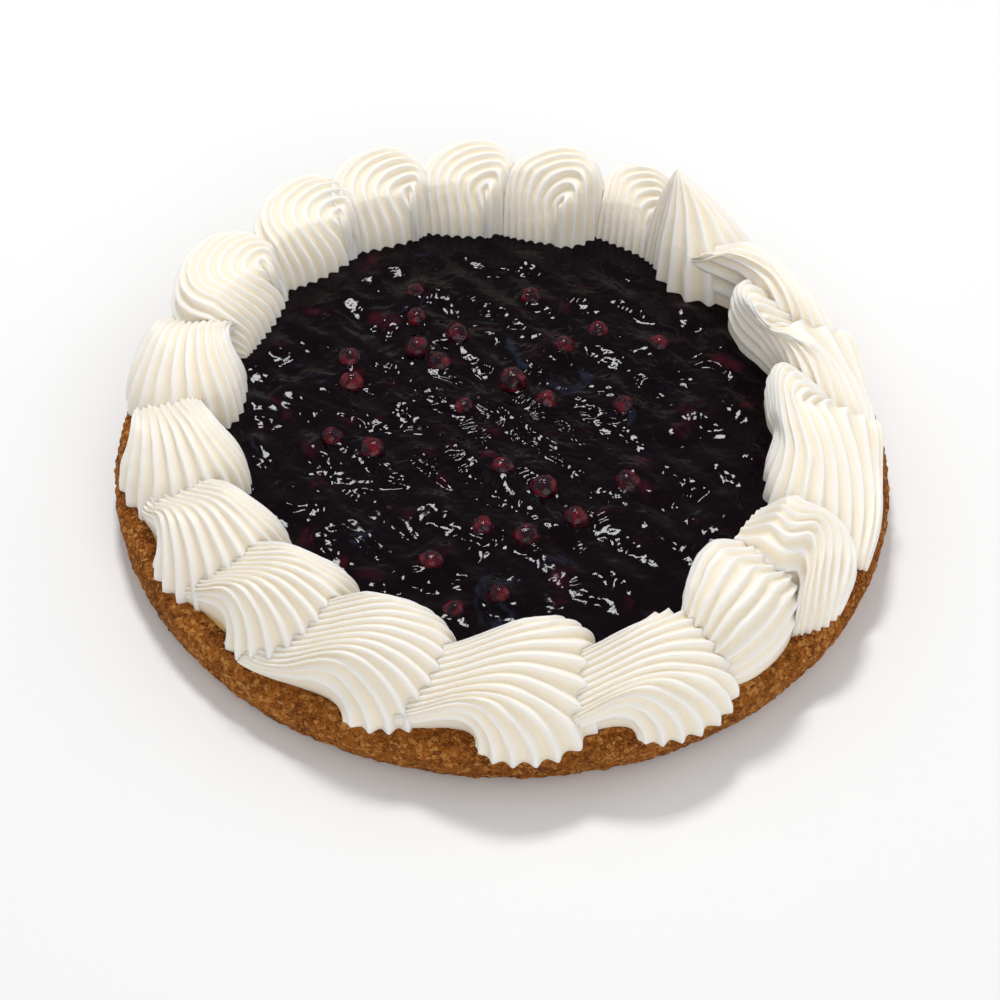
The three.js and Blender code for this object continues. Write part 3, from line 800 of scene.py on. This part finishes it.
def peak_strokes(c, s, t):
    """Strokes that run down all round from a pulled-up peak."""
    h = math.pi * t
    reach = (c["ahead"] * np.maximum(0, np.cos(h)) ** 1.6
             + c["inward"] * np.maximum(0, np.sin(h)) ** 1.5
             + c["outward"] * np.maximum(0, -np.sin(h)) ** 1.5
             + c["behind"] * np.maximum(0, -np.cos(h)) ** 1.3)
    bend = h + math.radians(c["bend"]) * s * s * np.sin(h)
    return c["tail"][0] + s * reach * np.cos(bend), c["tail"][1] + s * reach * np.sin(bend)


STROKES = {
    "curl": curl_strokes, "leaf": leaf_strokes, "ribbon": ribbon_strokes, "peak": peak_strokes,
}


def cream_rise(c, s, t):
    """Height of the smooth cream over what it stands on, mm."""
    if c["kind"] == "peak":
        return c["high"] * (0.66 * foot(s, 2.2) + 0.34 * (1 - s) ** 1.7) + 0 * t
    if c["kind"] == "leaf":
        ease = mix(0.3, 1.0, smooth(s, 0.1, 0.75))
        ease = ease * foot(np.maximum(0, 1 - s / 0.12), 2)
        shoulder = mix(2.6, 8.0, smooth(s, 0.1, 0.7))
        return c["high"] * ease * foot(s, 3.5) * (0.04 + 0.96 * foot(np.abs(t), shoulder))
    if c["kind"] == "curl":
        along = foot(1 - s, 1.8) * foot(s, 7)
        crest = -0.55
        inner = 1 - 0.5 * np.clip((t - crest) / (1 - crest), 0, 1) ** 1.2
        return c["high"] * along * inner * foot(np.clip((crest - t) / (1 + crest), 0, 1), 2.2)
    along = mix(0.55, 1.0, smooth(s, 0.0, 0.3)) * foot(s, c["blunt"])
    outside = mix(0.8, foot(-np.minimum(0, t), 2.6), smooth(s, *c["open"]))
    side = np.where(t < 0, mix(1.0, outside, np.minimum(1, -t * 2.5)), foot(t, 2.6))
    return c["high"] * along * side


def cream_sheet(c, s, across):
    """Points of the smooth sheet in mm, rows along the strokes and columns across them."""
    t, crowding = across, 1.48
    if c["kind"] == "curl":
        t = 1 - 2 * np.sin(crowding / 2 * (1 - across)) / math.sin(crowding)
    elif c["kind"] != "peak":
        t = np.sin(crowding * across) / math.sin(crowding)
    a, b = STROKES[c["kind"]](c, s, t)
    r = BORDER_R - b
    (near, near_soft), (far, far_soft) = CREAM_IN, CREAM_OUT
    r = np.where(r > far, far + far_soft * np.tanh((r - far) / far_soft), r)
    r = np.where(r < near, near - near_soft * np.tanh((near - r) / near_soft), r)
    az = math.radians(sum(c["az"]) / 2) + c["way"] * a / BORDER_R
    z = stand_height(r) + cream_rise(c, s, t)
    return np.stack([r * np.cos(az), r * np.sin(az), z], -1)


def ridge_depth(c, s, across, pitch):
    """Depth of a ridge in mm: deepest at the teeth, never more than its pitch allows."""
    shallow, deep = 1.9, 3.0
    tooth = (1 - s) if c["kind"] == "curl" else s
    depth = np.minimum(mix(shallow, deep, tooth**3), 0.5 * pitch)
    return depth if c["kind"] == "peak" else depth * (1 - np.abs(across) ** 14)


def closed(grid, wrap):
    """Points and faces of a sheet closed by a wall down into the cake and a bottom."""
    rows, cols = grid.shape[:2]
    points, count = grid.reshape(-1, 3), rows * cols
    index = np.arange(count).reshape(rows, cols)
    if wrap:
        index = np.concatenate([index, index[:, :1]], 1)
    corners = index[:-1, :-1], index[1:, :-1], index[1:, 1:], index[:-1, 1:]
    faces = np.stack(corners, -1).reshape(-1, 4).tolist()
    if wrap:
        rim = index[-1, :-1].tolist()
        faces += [(count, index[0, j], index[0, j + 1]) for j in range(cols)]
        points = np.vstack([points, grid[0].mean(0) + (0, 0, PEAK_TIP)])
        count += 1
    else:
        rim = [*index[0, :], *index[1:, -1], *index[-1, -2::-1], *index[-2:0:-1, 0]][::-1]
    low = points[rim]
    outside = np.hypot(low[:, 0], low[:, 1])
    low[:, :2] *= (np.minimum(outside, CREAM_FOOT_R) / outside)[:, None]
    low[:, 2] = CREAM_FOOT
    below = list(range(count, count + len(rim)))
    for k in range(len(rim)):
        m = (k + 1) % len(rim)
        faces.append((rim[k], below[k], below[m], rim[m]))
    faces.append(below[::-1])
    return np.vstack([points, low]), faces


def cream_base(c, name):
    """The smooth closed shell with the ridge phase, depth and outward direction at its points."""
    wrap = c["kind"] == "peak"
    u = np.linspace(0, 1, SHELL_ROWS)[:, None]
    s = mix(u, 0.5 - 0.5 * np.cos(math.pi * u), 0.75)
    across = np.linspace(-1, 1, c["ridges"] * POINTS_PER_RIDGE + 1)[None, :]
    if wrap:
        s = mix(0.012, 1.0, s)
        across = across[:, :-1]
    grid = cream_sheet(c, s, across)
    ds = np.gradient(grid, axis=0)
    if wrap:
        dt = (np.roll(grid, -1, 1) - np.roll(grid, 1, 1)) / 2
    else:
        dt = np.gradient(grid, axis=1)
    outward = np.cross(ds, dt) * c["way"]
    outward /= np.maximum(1e-9, np.linalg.norm(outward, axis=-1, keepdims=True))
    depth = ridge_depth(c, s, across, np.linalg.norm(dt, axis=-1) * POINTS_PER_RIDGE)
    ridge = (across + 1) * c["ridges"] / 2 + 0 * s
    points, faces = closed(grid, wrap)
    if c["way"] < 0:
        faces = [tuple(reversed(f)) for f in faces]
    mesh = bpy.data.meshes.new(name)
    mesh.from_pydata((points * MM).tolist(), [], [tuple(int(i) for i in f) for f in faces])
    extra = len(points) - ridge.size
    add_attribute(mesh, "ridge", np.concatenate([ridge.ravel(), np.zeros(extra)]))
    add_attribute(mesh, "depth", np.concatenate([depth.ravel() * MM, np.zeros(extra)]))
    add_attribute(mesh, "outward", np.vstack([outward.reshape(-1, 3), np.zeros((extra, 3))]),
                  "FLOAT_VECTOR")
    return mesh


def cream_material(colours):
    """Whipped cream: warm white crests, with painted warm shade (pale yellow) between the ridges
    for the light that bounces in the valleys.
    """
    material, nodes, principled, place = shader("Whipped cream")
    crest = nodes.add("ShaderNodeAttribute", {"attribute_name": "crest"}, out="Fac")
    cloud = nodes.noise(place, 60.0, 2.0, 0.5)
    # Painted shade: away from the crests the colour turns to the pale yellow valley shade, varied
    # by a soft cloud.
    tint = nodes.mix(
        (crest.between(0.55, 0.0) * (0.55 + 0.6 * cloud)).clamped(),
        tuple(colours.cream), tuple(colours.cream_valley_shade))
    foam = nodes.noise(place, 1400.0, 2.0, 0.5)
    finish_shader(
        nodes, principled,
        {"Roughness": 0.5, "Specular IOR Level": 0.25, "Subsurface Weight": 0.4,
         "Subsurface Radius": (0.0035, 0.0028, 0.0018), "Subsurface Scale": 1.0},
        colour=tint, bumps=[(foam, 0.00006)])
    return material


def ridge_tree(material):
    """Presses the nozzle's ridges into a smooth shell: narrow crests, wide valleys."""
    tree, nodes, given = geometry_tree(
        "Piped ridges", ["Ridge depth", "Ridge rounding", "Unevenness"])
    place = nodes.add("GeometryNodeInputPosition")
    sway = nodes.noise(place, 70.0, 2.0, 0.5)
    phase = (nodes.kept("ridge") + (sway - 0.5) * 0.35) * math.pi
    blunt = given["Ridge rounding"]
    crest = 1.0 - (phase.math("COSINE") ** 2.0 + blunt * blunt).math("SQRT")
    dent = (nodes.noise(place, 240.0, 3.0, 0.6) - 0.5) * given["Unevenness"] * 2.0
    depth, middle = nodes.kept("depth"), 0.42
    height = (crest - middle) * depth * given["Ridge depth"] + dent * (depth * 600.0).clamped()
    push = nodes.scaled(nodes.kept("outward", "FLOAT_VECTOR"), height)
    # The crest profile is kept on the mesh so that the cream material can paint shade in the
    # valleys with it.
    marked = nodes.add(
        "GeometryNodeStoreNamedAttribute", {"data_type": "FLOAT", "domain": "POINT"},
        {"Geometry": given["Geometry"], "Name": "crest", "Value": crest})
    end_tree(nodes, nodes.moved(marked, push), material)
    return tree


class CHEESECAKE_OT_cream(bpy.types.Operator):
    """Pipes the nineteen cream shells of the border"""

    bl_idname = "cheesecake.cream"
    bl_label = "Pipe cream border"

    def execute(self, context):
        sizes, colours = context.scene.cheesecake_sizes, context.scene.cheesecake_colours
        tree = ridge_tree(cream_material(colours))
        if len(SHELLS) != SHELL_COUNT:
            raise RuntimeError("the border has nineteen shells")
        for i, c in enumerate(SHELLS):
            name = f"piped_shell_{i + 1:02d}"
            piece = grown(
                name, cream_base(c, name), tree,
                {"Ridge depth": sizes.ridge_scale, "Ridge rounding": sizes.ridge_round,
                 "Unevenness": sizes.cream_grain})
            attach(piece, "cream", f"cream_shell_{i + 1:02d}")
        return {"FINISHED"}


# ---------------------------------------------------------------- stage
def area_light(name, place, size, power):
    """A soft panel of light looking at the cake."""
    data = bpy.data.lights.new(name, "AREA")
    data.shape, data.size, data.size_y = "RECTANGLE", *size
    data.energy = power
    light = bpy.data.objects.new(name, data)
    bpy.context.scene.collection.objects.link(light)
    light.location = place
    light.rotation_mode = "QUATERNION"
    light.rotation_quaternion = (-Vector(place)).to_track_quat("-Z", "Y")


class CHEESECAKE_OT_stage(bpy.types.Operator):
    """Sets up the camera, the floor and the studio lights"""

    bl_idname = "cheesecake.stage"
    bl_label = "Set up stage"

    def execute(self, context):
        scene = context.scene
        lift, roll = math.radians(CAMERA_LIFT), math.radians(CAMERA_ROLL)
        right = Vector((1, 0, 0))
        forward = Vector((0, math.cos(lift), -math.sin(lift)))
        up = Vector((0, math.sin(lift), math.cos(lift)))
        x_axis = math.cos(roll) * right + math.sin(roll) * up
        y_axis = -math.sin(roll) * right + math.cos(roll) * up
        data = bpy.data.cameras.new("Camera")
        data.lens, data.sensor_width = SENSOR * FRAME_SCALE * CAMERA_DISTANCE, SENSOR
        camera = bpy.data.objects.new("Camera", data)
        scene.collection.objects.link(camera)
        turn = Matrix((x_axis, y_axis, -forward)).transposed()
        place = Vector(CAMERA_AIM) - forward * CAMERA_DISTANCE
        camera.matrix_world = Matrix.Translation(place) @ turn.to_4x4()
        scene.camera = camera

        material, nodes, principled, place = shader("Studio floor")
        faint = nodes.noise(place, 3.0, 2.0, 0.5)
        shade = tuple(0.985 * v for v in scene.cheesecake_colours.floor)
        tint = nodes.mix(faint, tuple(scene.cheesecake_colours.floor), shade)
        finish_shader(nodes, principled, {"Roughness": 0.7, "Specular IOR Level": 0.2}, colour=tint)
        mesh = bpy.data.meshes.new("studio_floor")
        corners = ((-1, -1), (1, -1), (1, 1), (-1, 1))
        mesh.from_pydata(
            [(FLOOR_SIZE * x, FLOOR_SIZE * y, FLOOR_LEVEL) for x, y in corners], [], [(0, 1, 2, 3)])
        mesh.materials.append(material)
        floor = placed("studio_floor", mesh)

        scene.view_settings.view_transform = "Standard"
        world = bpy.data.worlds.new("Studio")
        scene.world = world
        world.use_nodes = True
        sky = world.node_tree.nodes["Background"]
        sky.inputs["Color"].default_value = (1.0, 1.0, 1.0, 1.0)
        sky.inputs["Strength"].default_value = WORLD_LIGHT
        for name, place, size, power in PANELS:
            area_light(name, place, size, power)
        return {"FINISHED"}


# ---------------------------------------------------------------- panel and run
class CHEESECAKE_PT_panel(bpy.types.Panel):
    """Lists the steps and settings of the cake"""

    bl_label = "Cheesecake"
    bl_idname = "CHEESECAKE_PT_panel"
    bl_space_type = "VIEW_3D"
    bl_region_type = "UI"
    bl_category = "Cheesecake"

    def draw(self, context):
        for group in (context.scene.cheesecake_sizes, context.scene.cheesecake_colours):
            box = self.layout.box()
            for key in group.bl_rna.properties.keys():
                if key not in ("rna_type", "name"):
                    box.prop(group, key)
        for step in STEPS:
            self.layout.operator(step.bl_idname)


STEPS = (
    CHEESECAKE_OT_crust,
    CHEESECAKE_OT_filling,
    CHEESECAKE_OT_gel,
    CHEESECAKE_OT_berries,
    CHEESECAKE_OT_cream,
    CHEESECAKE_OT_stage,
)
CLASSES = (CheesecakeSizes, CheesecakeColours, *STEPS, CHEESECAKE_PT_panel)


def register():
    for item in CLASSES:
        bpy.utils.register_class(item)
    bpy.types.Scene.cheesecake_sizes = bpy.props.PointerProperty(type=CheesecakeSizes)
    bpy.types.Scene.cheesecake_colours = bpy.props.PointerProperty(type=CheesecakeColours)


def unregister():
    del bpy.types.Scene.cheesecake_colours
    del bpy.types.Scene.cheesecake_sizes
    for item in reversed(CLASSES):
        bpy.utils.unregister_class(item)


def main():
    register()
    bpy.ops.cheesecake.crust()
    bpy.ops.cheesecake.filling()
    bpy.ops.cheesecake.gel()
    bpy.ops.cheesecake.berries()
    bpy.ops.cheesecake.cream()
    bpy.ops.cheesecake.stage()


if __name__ == "__main__":
    main()
